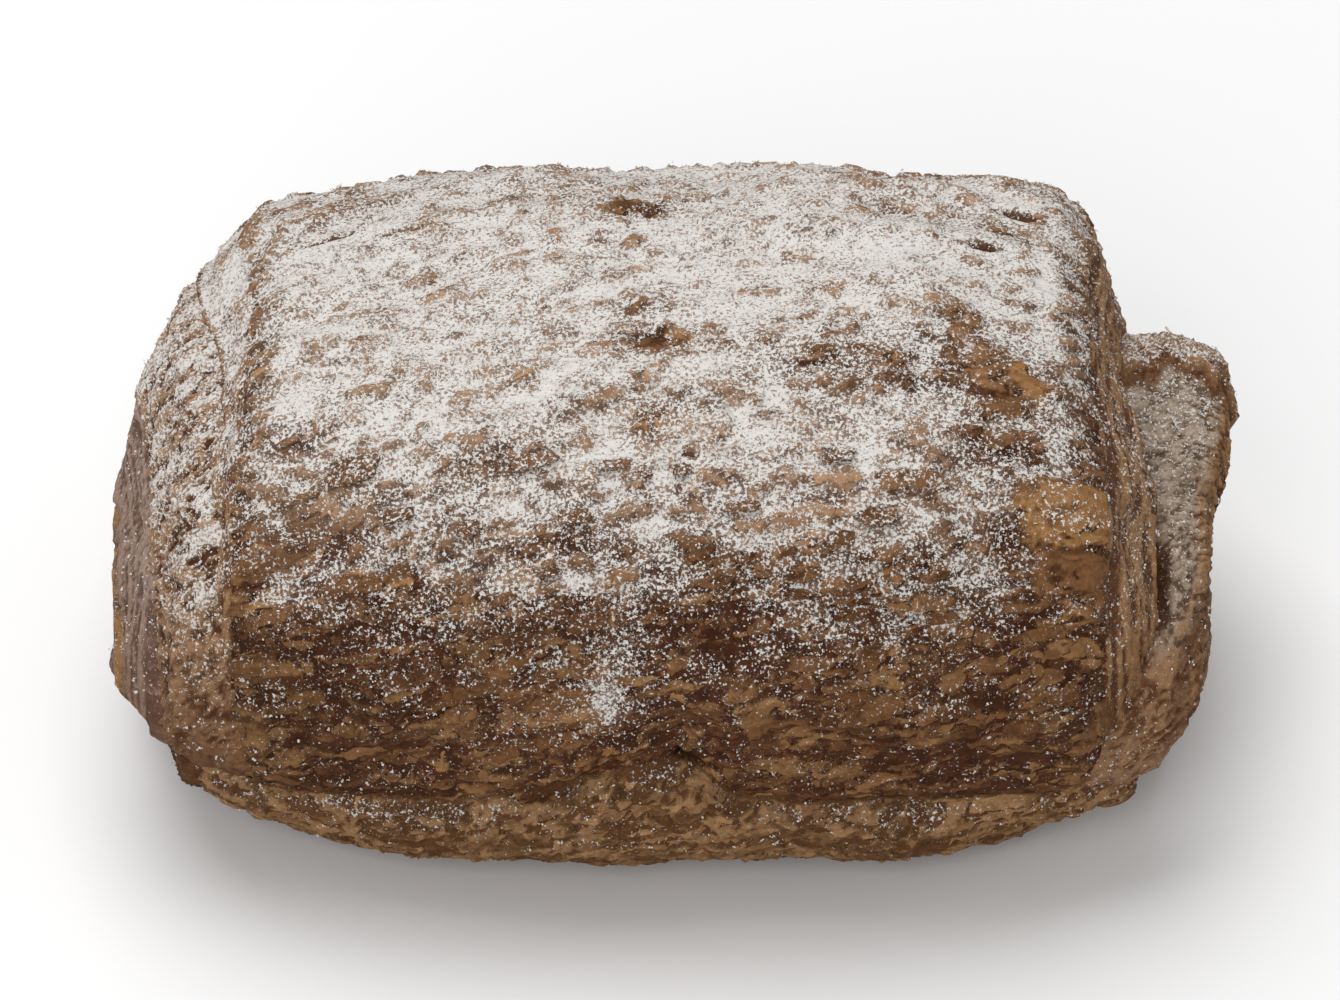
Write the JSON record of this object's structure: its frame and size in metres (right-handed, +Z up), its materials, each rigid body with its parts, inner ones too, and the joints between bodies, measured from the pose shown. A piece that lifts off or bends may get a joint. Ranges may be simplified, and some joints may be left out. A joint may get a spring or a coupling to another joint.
{
  "type": "danish pastry",
  "caption": "Rolled cocoa pastry of laminated dough with a dusted flaky crust, a crease low on the front and coiled turns standing out at both ends.",
  "frame": {"origin": "on the base, in the middle of the part's box", "axes": "+X along the roll, -Y the front with the crease, +Z up"},
  "size_m": [0.1128, 0.0756, 0.0535],
  "materials": {
    "crust": "baked cocoa crust, matt, dusted with icing sugar"
  },
  "bodies": {
    "root": {"pastry": "crust"}
  },
  "joints": []
}
